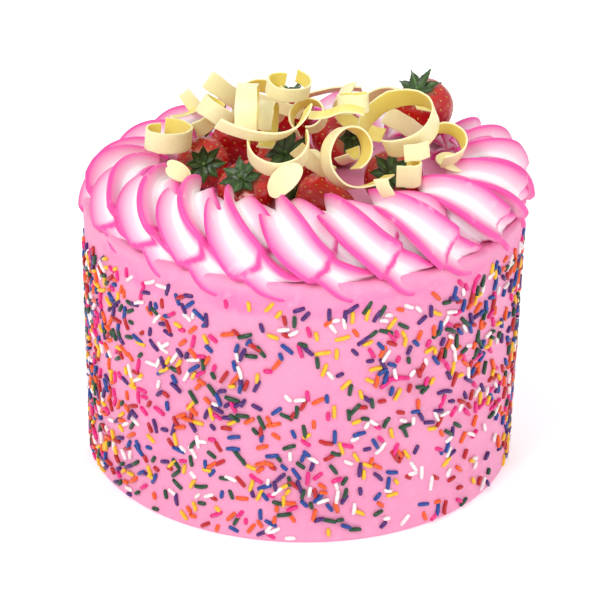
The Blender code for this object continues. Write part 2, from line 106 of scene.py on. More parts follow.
# Strawberries: length and radius in mm, lean of the leaf end from upright and the
# azimuth that it leans towards in degrees, number of leaflets
CALYX_SHARE = 0.85
CALYX_STEM = 3.0 * MM
LEAF_THICKNESS = 0.7 * MM
LEAF_BREADTH = 3.4
BERRY_DRAWS = 60
STRAWBERRIES = (
    (27, 12.5, 68, -85, 8),
    (30, 14.0, 38, -115, 7),
    (30, 13.0, 60, 160, 7),
    (30, 14.0, 80, 170, 7),
    (31, 13.5, 75, -60, 7),
    (31, 13.5, 30, -130, 8),
    (30, 14.5, 45, -95, 9),
    (30, 14.0, 55, -100, 8),
    (29, 12.5, 20, 110, 7),
)

# White chocolate. Shavings: length, width and bow in mm, turns about X, Y and Z in
# degrees. Curls: stretches as (length mm, turn in degrees), width, sideways drift, turns
SHAVINGS = (
    ("shaving_left", 13, 6, 0.8, (45, 35, 0)),
    ("shaving_pale", 11, 7, 0.6, (40, 30, 0)),
    ("shaving_right", 15, 9, 1.0, (40, 20, 0)),
    ("shaving_petal", 9, 7, 0.4, (30, 0, 40)),
    ("shaving_front", 20, 13, 1.5, (42, -45, 0)),
)
CURLS = (
    ("curl_back_flat", ((28, -25),), 9, 0, (55, -20, 5)),
    ("curl_rear_ring", ((34, 180), (38, 150)), 9, 1, (25, 10, 0)),
    ("curl_rear_sweep", ((20, 40), (26, 130)), 10, 0, (70, 0, 160)),
    ("curl_broad_back", ((38, -110),), 13, 0, (48, -55, 0)),
    ("curl_right", ((8, 20), (34, 230)), 9, 1, (35, 0, 20)),
    ("curl_inside", ((24, 40),), 9, 0, (-20, 32, 0)),
    ("curl_big_ring", ((48, 180), (50, 160)), 11, 2, (30, 0, -40)),
    ("curl_stub", ((12, 25),), 7, 0, (10, -125, 0)),
    ("curl_left_tab", ((14, 40),), 9, 0, (75, 5, 10)),
    ("curl_left_ring", ((32, 190), (34, 150)), 10, 1, (4, -6, 200)),
    ("curl_long", ((24, 45),), 9, 0, (-20, 36, 0)),
    ("curl_left_fold", ((18, 80),), 9, 0, (20, -20, 0)),
    ("curl_yellow", ((26, 190), (26, 140)), 9, 1, (25, -25, 150)),
    ("curl_top_under", ((26, 30),), 6, 0, (-10, 22, 0)),
    ("curl_arch_behind", ((38, 200), (14, 60)), 8, 1, (90, 10, 80)),
    ("curl_arch", ((44, 220), (16, 60)), 10, 2, (90, 0, 86)),
    ("curl_small_ring", ((22, 180), (24, 160)), 8, 1, (45, 0, -20)),
    ("curl_top_ring", ((28, 185), (30, 150)), 7, 1, (-6, -10, 180)),
    ("curl_square", ((12, 30), (26, 220)), 9, 1, (15, 0, 190)),
    ("curl_tail", ((12, 40), (14, -60)), 7, 0, (95, 10, 0)),
    ("curl_lower_run", ((22, 30),), 8, 0, (10, 45, 0)),
    ("curl_u_ring", ((26, 110), (26, 110)), 10, 1, (-10, 30, -110)),
    ("curl_sweep", ((24, 25), (28, 75)), 10, 0, (42, 28, 0)),
    ("curl_in_hoop", ((18, 150),), 8, 0, (20, 60, 0)),
    ("curl_twist", ((16, 60),), 7, 0, (20, 75, 0)),
    ("curl_hoop", ((30, 180), (40, 165), (18, 25)), 10, 3, (66, -10, 35)),
    ("curl_block", ((8, 20), (9, 130), (6, 10)), 11, 0, (0, 0, -10)),
    ("curl_end_tab", ((13, 30),), 8, 0, (-10, -5, 10)),
)

# Where sprinkles lie thick or thin on the icing: azimuth in degrees, height in mm, share
SPRINKLE_DENSITY = (
    (-170, 60, 1.8), (-150, 30, 1.5), (-150, 105, 1.8), (-130, 108, 1.6), (-105, 110, 0.6),
    (-100, 70, 0.9), (-118, 45, 0.9), (-95, 28, 1.6), (-88, 92, 0.6), (-52, 92, 1.8),
    (-45, 20, 0.35), (-65, 50, 0.9), (-25, 60, 1.2), (-8, 60, 1.8), (40, 40, 0.9),
    (60, 100, 0.8), (90, 25, 1.4), (100, 90, 1.0), (140, 60, 1.2), (165, 100, 1.4),
)
SPRINKLE_COLOURS = (
    ("red", (0.50, 0.004, 0.008)),
    ("orange", (0.88, 0.10, 0.004)),
    ("yellow", (0.92, 0.52, 0.008)),
    ("green", (0.003, 0.060, 0.020)),
    ("blue", (0.002, 0.050, 0.30)),
    ("purple", (0.065, 0.004, 0.15)),
    ("magenta", (0.82, 0.008, 0.22)),
    ("white", (0.95, 0.84, 0.84)),
)

# Camera at the photograph's place
CAMERA_SPOT = Vector((-0.00024, -1.16938, 0.64110))
CAMERA_TARGET = Vector((-0.00096, 0.00576, 0.0731))
CAMERA_ROLL = math.radians(1.014)
CAMERA_LENS = 159.05


# Settings

class CakeIcing(bpy.types.PropertyGroup):
    colour: FloatVectorProperty(
        name="Icing", description="Colour of the smooth icing", subtype="COLOR",
        min=0, max=1, default=(0.83, 0.305, 0.50))
    shade: FloatVectorProperty(
        name="Deeper icing", description="Colour of the icing where it is worked thicker",
        subtype="COLOR", min=0, max=1, default=(0.81, 0.25, 0.46))
    # Deeper pink laid in streaks on the side just below the rope
    under_rope_colour: FloatVectorProperty(
        name="Wiped icing", description="Colour that the rope leaves on the side below it",
        subtype="COLOR", min=0, max=1, default=(0.84, 0.13, 0.42))
    ridge: FloatProperty(
        name="Ridge height", description="How far the scraper's ridges stand out",
        default=0.8 * MM, unit="LENGTH", subtype="DISTANCE")


class CakeSprinkles(bpy.types.PropertyGroup):
    count: IntProperty(
        name="Number", description="Sprinkles all round the side", default=2300, min=84)
    radius: FloatProperty(
        name="Radius", description="Radius of one sprinkle",
        default=1.05 * MM, unit="LENGTH", subtype="DISTANCE")


class CakeBorder(bpy.types.PropertyGroup):
    valley_colour: FloatVectorProperty(
        name="Valleys", description="Icing colour between the fins", subtype="COLOR",
        min=0, max=1, default=(0.95, 0.88, 0.91))
    crest_colour: FloatVectorProperty(
        name="Crests", description="Icing colour on the fins' edges", subtype="COLOR",
        min=0, max=1, default=(0.86, 0.075, 0.38))
    fin_lead: FloatProperty(
        name="Fin lead", description="How far the fins' tips run ahead of the valleys",
        default=6.0 * MM, unit="LENGTH", subtype="DISTANCE")


class CakeBerries(bpy.types.PropertyGroup):
    seeds: IntProperty(
        name="Seeds", description="Seeds on one strawberry", default=120, min=0)
    dimple: FloatProperty(
        name="Dimple depth", description="How deep each seed sits in the flesh",
        default=0.38 * MM, unit="LENGTH", subtype="DISTANCE")
    flesh: FloatVectorProperty(
        name="Flesh", description="Colour of the ripe berry", subtype="COLOR",
        min=0, max=1, default=(0.50, 0.004, 0.005))
    leaf: FloatVectorProperty(
        name="Leaf", description="Colour of the leaves", subtype="COLOR",
        min=0, max=1, default=(0.036, 0.088, 0.013))


class CakeCurls(bpy.types.PropertyGroup):
    thickness: FloatProperty(
        name="Thickness", description="Thickness of the chocolate ribbons",
        default=0.95 * MM, unit="LENGTH", subtype="DISTANCE")
    outside: FloatVectorProperty(
        name="Outside", description="Colour of a ribbon's outer face", subtype="COLOR",
        min=0, max=1, default=(0.97, 0.885, 0.49))
    # Painted shade: the inner face is a deeper, more saturated yellow copy of the outside, standing in
    # for the shade and bounced light inside the curls
    inside: FloatVectorProperty(
        name="Inside", description="Colour of a ribbon's inner face", subtype="COLOR",
        min=0, max=1, default=(0.92, 0.77, 0.18))


# Shared helpers

def smooth_step(value):
    value = min(max(value, 0.0), 1.0)
    return value * value * (3.0 - 2.0 * value)


def rope_line(azimuth):
    """Radius and height of the rope's middle, which sags towards the back."""
    behind = math.sin(azimuth - math.radians(15))
    left = max(0.0, -math.cos(azimuth))
    fall = ROPE_FALL * smooth_step((behind + 0.5) / 1.2)
    return ROPE_RADIUS - ROPE_INSET * left * left, ROPE_HEIGHT - fall


def make_piece(bm, name, materials, replaces=None):
    """Turn a finished bmesh into a piece that rides on the cake."""
    mesh = bpy.data.meshes.new(name)
    bm.to_mesh(mesh)
    bm.free()
    mesh.shade_smooth()
    for material in materials:
        mesh.materials.append(material)
    piece = bpy.data.objects.new(name, mesh)
    bpy.context.scene.collection.objects.link(piece)
    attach(piece, "root")
    if replaces:
        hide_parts(replaces)
    return piece


def spin_outline(bm, outline, steps, layer=None, marks=()):
    """Closed skin from an outline of (radius, height); marks are its points' layer values."""
    tip = None
    for k, (radius, height) in enumerate(outline):
        if tip is None:
            tip = bmesh.ops.create_vert(bm, co=(radius, 0, height))["vert"][0]
        else:
            tip = bmesh.ops.extrude_vert_indiv(bm, verts=[tip])["verts"][0]
            tip.co = (radius, 0, height)
        if layer is not None:
            tip[layer] = marks[k]
    bmesh.ops.spin(bm, geom=bm.verts[:] + bm.edges[:], cent=(0, 0, 0), axis=(0, 0, 1),
                   dvec=(0, 0, 0), angle=math.tau, steps=steps, use_merge=True)
    bmesh.ops.remove_doubles(bm, verts=bm.verts, dist=0.00001)


def leaned(lean, towards):
    """Tip a piece from upright by lean degrees towards an azimuth in degrees."""
    tip_over = Matrix.Rotation(math.radians(lean), 4, "Y")
    return Matrix.Rotation(math.radians(towards), 4, "Z") @ tip_over


def pose_of(turns):
    pose = Matrix.Identity(4)
    for axis, turn in zip("XYZ", turns):
        pose = Matrix.Rotation(math.radians(turn), 4, axis) @ pose
    return pose


def centre_on_node(bm, verts, node):
    """Move vertices so that the middle of their box is that of the CAD node."""
    low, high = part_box(node)
    own_low = Vector([min(vert.co[i] for vert in verts) for i in range(3)])
    own_high = Vector([max(vert.co[i] for vert in verts) for i in range(3)])
    shift = (Vector(low) + Vector(high) - own_low - own_high) / 2
    bmesh.ops.translate(bm, vec=shift, verts=verts)


# Materials

def group_sockets(group, inputs, outputs):
    for name, kind, value in inputs:
        socket = group.interface.new_socket(name=name, in_out="INPUT", socket_type=kind)
        if value is not None:
            socket.default_value = value
    for name, kind in outputs:
        group.interface.new_socket(name=name, in_out="OUTPUT", socket_type=kind)
    return group.nodes.new("NodeGroupInput"), group.nodes.new("NodeGroupOutput")


def mottle_group():
    """Two colours clouded into each other, with the cloud as a height."""
    group = bpy.data.node_groups.get("soft_mottle")
    if group:
        return group
    group = bpy.data.node_groups.new("soft_mottle", "ShaderNodeTree")
    colour, number = "NodeSocketColor", "NodeSocketFloat"
    start, end = group_sockets(
        group,
        (("Vector", "NodeSocketVector", None), ("Scale", number, 60.0),
         ("Base", colour, (0.8, 0.8, 0.8, 1)), ("Cloud", colour, (0.5, 0.5, 0.5, 1)),
         ("Low", number, 0.4), ("High", number, 0.65)),
        (("Colour", colour), ("Height", number)))
    cloud = group.nodes.new("ShaderNodeTexNoise")
    cloud.inputs["Detail"].default_value = 4.0
    spread = group.nodes.new("ShaderNodeMapRange")
    mix = group.nodes.new("ShaderNodeMix")
    mix.data_type = "RGBA"
    links = group.links
    links.new(start.outputs["Vector"], cloud.inputs["Vector"])
    links.new(start.outputs["Scale"], cloud.inputs["Scale"])
    links.new(cloud.outputs["Fac"], spread.inputs["Value"])
    links.new(start.outputs["Low"], spread.inputs["From Min"])
    links.new(start.outputs["High"], spread.inputs["From Max"])
    links.new(spread.outputs["Result"], mix.inputs["Factor"])
    links.new(start.outputs["Base"], mix.inputs["A"])
    links.new(start.outputs["Cloud"], mix.inputs["B"])
    links.new(mix.outputs["Result"], end.inputs["Colour"])
    links.new(cloud.outputs["Fac"], end.inputs["Height"])
    return group


def speck_group():
    """Scattered round specks or air holes laid over a colour; where they are holes, their darker
    colour is painted shade.
    """
    group = bpy.data.node_groups.get("fine_specks")
    if group:
        return group
    group = bpy.data.node_groups.new("fine_specks", "ShaderNodeTree")
    colour, number = "NodeSocketColor", "NodeSocketFloat"
    start, end = group_sockets(
        group,
        (("Vector", "NodeSocketVector", None), ("Scale", number, 300.0),
         ("Size", number, 0.1), ("Base", colour, (0.8, 0.8, 0.8, 1)),
         ("Speck", colour, (1, 1, 1, 1))),
        (("Colour", colour), ("Height", number)))
    cells = group.nodes.new("ShaderNodeTexVoronoi")
    inside = group.nodes.new("ShaderNodeMapRange")
    inside.inputs["From Min"].default_value = 0.0
    inside.inputs["To Min"].default_value = 1.0
    inside.inputs["To Max"].default_value = 0.0
    mix = group.nodes.new("ShaderNodeMix")
    mix.data_type = "RGBA"
    links = group.links
    links.new(start.outputs["Vector"], cells.inputs["Vector"])
    links.new(start.outputs["Scale"], cells.inputs["Scale"])
    links.new(cells.outputs["Distance"], inside.inputs["Value"])
    links.new(start.outputs["Size"], inside.inputs["From Max"])
    links.new(inside.outputs["Result"], mix.inputs["Factor"])
    links.new(start.outputs["Base"], mix.inputs["A"])
    links.new(start.outputs["Speck"], mix.inputs["B"])
    links.new(mix.outputs["Result"], end.inputs["Colour"])
    links.new(inside.outputs["Result"], end.inputs["Height"])
    return group


class Finish:
    """A material in the making: its shader and its nodes."""

    def __init__(self, name, **constants):
        self.material = bpy.data.materials.new(name)
        self.material.use_nodes = True
        self.tree = self.material.node_tree
        self.shader = self.tree.nodes["Principled BSDF"]
        for socket, value in constants.items():
            self.shader.inputs[socket.replace("_", " ")].default_value = value
        self.place = self.tree.nodes.new("ShaderNodeTexCoord").outputs["Object"]

    def feed(self, socket, value):
        if hasattr(value, "is_linked"):
            self.tree.links.new(value, socket)
        elif len(value) == 3:
            socket.default_value = (*value, 1.0)
        else:
            socket.default_value = value

    def mottle(self, base, cloud, scale, low=0.4, high=0.65):
        node = self.tree.nodes.new("ShaderNodeGroup")
        node.node_tree = mottle_group()
        self.tree.links.new(self.place, node.inputs["Vector"])
        self.feed(node.inputs["Base"], base)
        self.feed(node.inputs["Cloud"], cloud)
        for socket, value in (("Scale", scale), ("Low", low), ("High", high)):
            node.inputs[socket].default_value = value
        return node.outputs["Colour"], node.outputs["Height"]

    def specks(self, base, speck, scale, size):
        node = self.tree.nodes.new("ShaderNodeGroup")
        node.node_tree = speck_group()
        self.tree.links.new(self.place, node.inputs["Vector"])
        self.feed(node.inputs["Base"], base)
        self.feed(node.inputs["Speck"], speck)
        node.inputs["Scale"].default_value = scale
        node.inputs["Size"].default_value = size
        return node.outputs["Colour"], node.outputs["Height"]

    def by_attribute(self, name, stops):
        """Colour ramp read from a vertex attribute."""
        reader = self.tree.nodes.new("ShaderNodeAttribute")
        reader.attribute_name = name
        ramp = self.tree.nodes.new("ShaderNodeValToRGB")
        band = ramp.color_ramp
        while len(band.elements) < len(stops):
            band.elements.new(0.5)
        for element, (position, colour) in zip(band.elements, stops):
            element.position = position
            element.color = (*colour, 1.0)
        self.tree.links.new(reader.outputs["Fac"], ramp.inputs["Fac"])
        return ramp.outputs["Color"]

    def bump(self, height, distance, strength=1.0, before=None):
        node = self.tree.nodes.new("ShaderNodeBump")
        node.inputs["Strength"].default_value = strength
        node.inputs["Distance"].default_value = distance
        self.tree.links.new(height, node.inputs["Height"])
        if before:
            self.tree.links.new(before, node.inputs["Normal"])
        return node.outputs["Normal"]

    def done(self, colour, normal=None):
        self.feed(self.shader.inputs["Base Color"], colour)
        if normal:
            self.tree.links.new(normal, self.shader.inputs["Normal"])
        return self.material


def tint(colour, factor):
    return tuple(min(1.0, channel * factor) for channel in colour)


def icing_finish(settings):
    finish = Finish("smooth_icing", Roughness=0.5, Subsurface_Weight=0.12, Subsurface_Scale=0.004)
    finish.shader.inputs["Subsurface Radius"].default_value = (1.0, 0.35, 0.5)
    # Deeper pink in streaks on the side just below the rope, read from the body's vertex layer
    under_rope_toned = finish.by_attribute("under_rope_pink", ((0.0, settings.colour[:]), (1.0, settings.under_rope_colour[:])))
    colour, cloud = finish.mottle(under_rope_toned, settings.shade[:], 22, 0.45, 0.8)
    colour, fine = finish.mottle(colour, tint(settings.colour, 1.06), 220, 0.5, 0.75)
    # Painted shade: the air holes are coloured a darker pink than the icing round them, on top of the
    # bump that sinks them
    colour, holes = finish.specks(colour, tint(settings.shade, 0.85), 260, 0.10)
    normal = finish.bump(cloud, 0.6 * MM, 0.5)
    normal = finish.bump(fine, 0.06 * MM, 0.5, normal)
    return finish.done(colour, finish.bump(holes, -0.15 * MM, 0.6, normal))


def border_finish(settings):
    finish = Finish("piped_icing", Roughness=0.42, Subsurface_Weight=0.15, Subsurface_Scale=0.004)
    finish.shader.inputs["Subsurface Radius"].default_value = (1.0, 0.4, 0.5)
    valley, crest = settings.valley_colour[:], settings.crest_colour[:]
    middle = tuple(0.5 * (a + b) for a, b in zip(valley, crest))
    colour = finish.by_attribute("crest", ((0.34, valley), (0.66, middle), (0.88, crest)))
    colour, cloud = finish.mottle(colour, valley, 90, 0.62, 0.95)
    # Painted shade: the air holes are coloured a deeper pink than the icing round them, on top of the
    # bump that sinks them
    colour, holes = finish.specks(colour, tint(crest, 0.9), 420, 0.085)
    normal = finish.bump(cloud, 0.25 * MM, 0.5)
    return finish.done(colour, finish.bump(holes, -0.12 * MM, 0.5, normal))


def sprinkle_finish(name, base):
    finish = Finish("sprinkle_" + name, Roughness=0.32, Coat_Weight=0.1, Coat_Roughness=0.2)
    colour, cloud = finish.mottle(base, tint(base, 0.8), 500, 0.45, 0.7)
    return finish.done(colour, finish.bump(cloud, 0.05 * MM, 0.4))


def flesh_finish(settings):
    finish = Finish("strawberry_flesh", Roughness=0.3, Coat_Weight=0.12, Coat_Roughness=0.12,
                    Subsurface_Weight=0.05, Subsurface_Scale=0.002)
    finish.shader.inputs["Subsurface Radius"].default_value = (1.0, 0.12, 0.08)
    flesh = settings.flesh[:]
    colour = finish.by_attribute(
        "ripe", ((0.0, (0.70, 0.30, 0.16)), (0.03, (0.60, 0.03, 0.02)), (0.10, flesh)))
    colour, cloud = finish.mottle(colour, tint(flesh, 0.62), 130, 0.5, 0.8)
    return finish.done(colour, finish.bump(cloud, 0.12 * MM, 0.5))


def seed_finish():
    finish = Finish("strawberry_seed", Roughness=0.35)
    colour, cloud = finish.mottle((0.72, 0.42, 0.10), (0.50, 0.20, 0.04), 400)
    return finish.done(colour, finish.bump(cloud, 0.04 * MM, 0.4))


def leaf_finish(settings):
    finish = Finish("berry_leaf", Roughness=0.42, Coat_Weight=0.15, Coat_Roughness=0.3)
    leaf = settings.leaf[:]
    colour = finish.by_attribute(
        "rib", ((0.0, tint(leaf, 2.6)), (0.10, tint(leaf, 1.5)), (0.35, leaf), (1.0, tint(leaf, 0.7))))
    colour, cloud = finish.mottle(colour, tint(leaf, 0.5), 110, 0.45, 0.75)
    return finish.done(colour, finish.bump(cloud, 0.2 * MM, 0.7))


def chocolate_finish(name, base, shade):
    finish = Finish(name, Roughness=0.38, Subsurface_Weight=0.2, Subsurface_Scale=0.003)
    finish.shader.inputs["Subsurface Radius"].default_value = (1.0, 0.95, 0.6)
    colour, cloud = finish.mottle(base, shade, 80, 0.45, 0.8)
    colour, fine = finish.mottle(colour, tint(base, 1.04), 600, 0.5, 0.75)
    normal = finish.bump(cloud, 0.2 * MM, 0.4)
    return finish.done(colour, finish.bump(fine, 0.03 * MM, 0.4, normal))


# Iced body

SCRAPER_RIDGES = (107, 94, 81, 63, 47.5, 35.7, 19)   # heights in mm
BODY_STEPS = 224
SIDE_LEVELS = 118


def side_radius(height):
    share = min(max(height / SHOULDER_HEIGHT, 0.0), 1.0)
    return BASE_RADIUS + (SHOULDER_RADIUS - BASE_RADIUS) * share


def icing_relief(azimuth, height, ridge):
    """Height of the scraper's faint ridges, strongest at the front right."""
    side = 0.35 + 0.65 * max(0.0, math.cos(azimuth - math.radians(-50))) ** 2
    relief = 0.0
    for k, level in enumerate(SCRAPER_RIDGES):
        wander = 1.2 * math.sin(2 * azimuth + k) + 0.5 * math.sin(5 * azimuth + 2 * k)
        gap = (height / MM - level - wander) / 0.8
        relief += math.exp(-gap * gap) * (0.5 + 0.5 * math.sin(3 * azimuth + 1.7 * k))
    around = Vector((math.cos(azimuth), math.sin(azimuth), height * 9))
    return ridge * (side * relief + 0.9 * noise.noise(around * 2.2) - 0.45)


def under_rope_pink_at(azimuth, height):
    """Share of the deeper pink laid in streaks on the side just below the rope."""
    below = (rope_line(azimuth)[1] - 22 * MM - height) / (5 * MM)
    streak = noise.noise(Vector((5 * math.cos(azimuth), 5 * math.sin(azimuth), 70 * height)))
    return 0.7 * smooth_step(1.0 - below) * smooth_step(0.55 + streak)


class CAKE_OT_iced_body(bpy.types.Operator):
    """Model the smooth iced body with the scraper's ridges"""
    bl_idname = "cake.iced_body"
    bl_label = "Iced Body"

    def execute(self, context):
        settings = context.scene.cake_icing
        bm = bmesh.new()
        profile = [(0.0, 0.0), (40 * MM, 0.0), (80 * MM, 0.0), (BASE_RADIUS - FOOT_ROUND, 0.0)]
        for k in range(SIDE_LEVELS + 1):
            level = FOOT_ROUND + (SHOULDER_HEIGHT - FOOT_ROUND) * k / SIDE_LEVELS
            profile.append((side_radius(level), level))
        for turn in range(0, 91, 10):
            angle = math.radians(turn)
            inset = TOP_ROUND * (1 - math.cos(angle))
            profile.append((SHOULDER_RADIUS - inset, CAKE_HEIGHT - TOP_ROUND * (1 - math.sin(angle))))
        profile += [(radius * MM, CAKE_HEIGHT) for radius in (96, 84, 72, 60, 45, 30, 15, 0)]
        spin_outline(bm, profile, BODY_STEPS)
        # Share of the deeper pink in streaks on the side just below the rope
        under_rope_pink = bm.verts.layers.float.new("under_rope_pink")
        for vert in bm.verts:
            height = vert.co.z
            if FOOT_ROUND < height < SHOULDER_HEIGHT + 1 * MM:
                azimuth = math.atan2(vert.co.y, vert.co.x)
                fade = smooth_step((height - FOOT_ROUND) / (6 * MM))
                fade *= 1 - smooth_step((height - 116 * MM) / (8 * MM))
                out = icing_relief(azimuth, height, settings.ridge) * fade
                vert[under_rope_pink] = under_rope_pink_at(azimuth, height)
                vert.co += Vector((math.cos(azimuth), math.sin(azimuth), 0)) * out
            elif height > CAKE_HEIGHT - 0.01 * MM:
                vert.co.z += 0.5 * MM * noise.noise(vert.co * 55) - 0.2 * MM
        bmesh.ops.recalc_face_normals(bm, faces=bm.faces)
        make_piece(bm, "iced_body", [icing_finish(settings)], "cake_body")
        return {"FINISHED"}


# Sprinkles

def density_at(azimuth, height):
    """Share of sprinkles at a spot, blended between the listed places."""
    total = weights = 0.0
    for turn, level, share in SPRINKLE_DENSITY:
        gap = (azimuth - math.radians(turn) + math.pi) % math.tau - math.pi
        away = (gap * BASE_RADIUS / MM) ** 2 + (height / MM - level) ** 2
        weight = 1 / (away + 60.0) ** 1.5
        total += weight * share
        weights += weight
    return total / weights


def large_sprinkles():
    """The sprinkles that the solid has, drawn by the same seeded rule."""
    draw = random.Random(11)
    for row in range(SPRINKLE_ROWS):
        for column in range(SPRINKLES_PER_ROW):
            step = column + 0.5 * (row % 2) + draw.uniform(-0.22, 0.22)
            azimuth = math.tau * step / SPRINKLES_PER_ROW
            share = (row + 0.5 + draw.uniform(-0.28, 0.28)) / SPRINKLE_ROWS
            highest = rope_line(azimuth)[1] - SPRINKLE_BELOW_ROPE
            height = SPRINKLE_LOW + (highest - SPRINKLE_LOW) * share
            tilt = math.radians(draw.uniform(-85, 85))
            yield azimuth, height, tilt, draw.uniform(*SPRINKLE_LENGTHS)


class Spots:
    def __init__(self, spacing):
        self.spacing = spacing
        self.columns = int(math.tau * BASE_RADIUS / spacing)
        self.cells = {}

    def cell(self, azimuth, height):
        return int(azimuth / math.tau * self.columns) % self.columns, int(height / self.spacing)

    def take(self, azimuth, height):
        self.cells.setdefault(self.cell(azimuth, height), []).append((azimuth, height))

    def is_free(self, azimuth, height):
        column, row = self.cell(azimuth, height)
        for i in (-1, 0, 1):
            for k in (-1, 0, 1):
                for turn, level in self.cells.get(((column + i) % self.columns, row + k), ()):
                    gap = (azimuth - turn + math.pi) % math.tau - math.pi
                    if math.hypot(gap * BASE_RADIUS, height - level) < self.spacing:
                        return False
        return True


def scattered_sprinkles(count):
    """Large sprinkles first, then the many others where the icing has room."""
    draw = random.Random(29)
    grains = list(large_sprinkles())
    spots = Spots(SPRINKLE_SPACING)
    for azimuth, height, tilt, length in grains:
        spots.take(azimuth % math.tau, height)
    for _ in range(SPRINKLE_TRIES):
        if len(grains) >= count:
            break
        azimuth = draw.uniform(0, math.tau)
        height = draw.uniform(2.5 * MM, rope_line(azimuth)[1] - 19 * MM)
        if draw.random() > density_at(azimuth, height) / 1.8 or not spots.is_free(azimuth, height):
            continue
        spots.take(azimuth, height)
        length = draw.uniform(SPRINKLE_SHORTEST, SPRINKLE_LONGEST) * MM
        room = max(0.15, min(1.0, (height - 1.15 * MM) / (0.5 * length)))
        steep = math.degrees(math.acos(min(1.0, room)))
        tilt = draw.choice((-1, 1)) * math.radians(draw.uniform(steep if room < 1 else 0, 90))
        grains.append((azimuth, height, tilt, length))
    return grains


def sprinkle_mesh(radius, grain, draw):
    """One short rod with round ends, a little bent, lying on the icing."""
    azimuth, height, tilt, length = grain
    bm = bmesh.new()
    bmesh.ops.create_uvsphere(bm, u_segments=8, v_segments=6, radius=radius)
    half = 0.5 * length - radius
    bend = draw.uniform(-0.12, 0.22) * half
    swirl = Matrix.Rotation(draw.uniform(0, math.tau), 4, "Z")
    for vert in bm.verts:
        along = half if vert.co.z > 1e-6 else -half if vert.co.z < -1e-6 else 0.0
        vert.co.z += along
        vert.co.x += bend * (vert.co.z / (half + radius)) ** 2
    pitch = Matrix.Rotation(math.radians(draw.uniform(-5, 5)), 4, "Y")
    place = (Matrix.Rotation(azimuth, 4, "Z")
             @ Matrix.Translation((side_radius(height) + SPRINKLE_SINK, 0, height))
             @ Matrix.Rotation(tilt, 4, "X") @ pitch @ swirl)
    bmesh.ops.transform(bm, matrix=place, verts=bm.verts)
    return bm


def append_mesh(bm, part):
    """Add a small finished bmesh to a large one."""
    passing = bpy.data.meshes.new("passing")
    part.to_mesh(passing)
    part.free()
    bm.from_mesh(passing)
    bpy.data.meshes.remove(passing)


class CAKE_OT_sprinkles(bpy.types.Operator):
    """Scatter the coloured sprinkles over the iced side"""
    bl_idname = "cake.sprinkles"
    bl_label = "Sprinkles"

    def execute(self, context):
        settings = context.scene.cake_sprinkles
        draw = random.Random(5)
        heaps = {name: bmesh.new() for name, colour in SPRINKLE_COLOURS}
        names = list(heaps)
        for grain in scattered_sprinkles(settings.count):
            append_mesh(heaps[draw.choice(names)], sprinkle_mesh(settings.radius, grain, draw))
        for name, colour in SPRINKLE_COLOURS:
            make_piece(heaps[name], "sprinkles_" + name, [sprinkle_finish(name, colour)])
        return {"FINISHED"}


# Piped rope border

def stroke_point(anchor, share):
    turn = STROKE_START + (STROKE_END - STROKE_START) * (1 - (1 - share) ** 1.7)
    azimuth = anchor + (STROKE_ADVANCE * share ** 1.25 - STROKE_BACK) / STROKE_ARC_RADIUS
    swell = 1.35 - 0.20 * smooth_step(share / 0.4)
    tuck = 1 - 0.35 * smooth_step((share - 0.7) / 0.3)
    swing = STROKE_SWING * swell * tuck
    radius, height = rope_line(azimuth)
    radius += swing * math.cos(turn)
    height += swing * math.sin(turn)
    droop = smooth_step((share - 0.45) / 0.55)
    radius += TIER_OUT * droop
    height -= TIER_DROOP * droop
    return Vector((radius * math.cos(azimuth), radius * math.sin(azimuth), height))


def tier_end(fin):
    """Where the upper tier ends: later in the valleys than on the fins, so it ends round."""
    return TIER_END + 0.02 - 0.07 * fin ** 2


def tier_step(fin, share):
    """A squeeze comes in two tiers: the upper swells and then draws in over the lower."""
    end = tier_end(fin)
    upper = 1 + 0.08 * smooth_step(share / end)
    drawn_in = 1 - 0.15 * (1 - smooth_step((share - end) / 0.20))
    return upper + (drawn_in - upper) * smooth_step((share - end) / 0.07 + 0.5)


def rim_share(fin, share):
    """Share of the deep pink that the nozzle's wall lays on: fins and both tiers' ends."""
    upper_end = math.exp(-((share - tier_end(fin) + 0.02) / 0.05) ** 2)
    lower_end = smooth_step((share - 0.90 + 0.10 * fin ** 2) / 0.08)
    return max(fin, 0.95 * upper_end, lower_end)


def stroke_size(fin, share):
    """Nozzle radius along a stroke: blunt start, two tiers and a round tucked end."""
    start = 0.55 + 0.45 * smooth_step(share / 0.30)
    tail = 1 - 0.26 * smooth_step((share - 0.60) / 0.40)
    close = min(1.0, share / 0.035, max(0.0, 1 - share - 0.06 * fin ** 2) / 0.16)
    return NOZZLE_RADIUS * start * tail * tier_step(fin, share) * math.sqrt(close * (2 - close))


def stroke_frames(anchor, steps):
    """Point, tangent and two cross directions that turn as little as they can."""
    frames = []
    normal = Vector((math.cos(anchor), math.sin(anchor), 0.3))
    for i in range(steps + 1):
        share = i / steps
        ahead = stroke_point(anchor, min(1.0, share + 0.01))
        behind = stroke_point(anchor, max(0.0, share - 0.01))
        tangent = (ahead - behind).normalized()
        normal = (normal - normal.dot(tangent) * tangent).normalized()
        frames.append((stroke_point(anchor, share), tangent, normal, tangent.cross(normal)))
    return frames


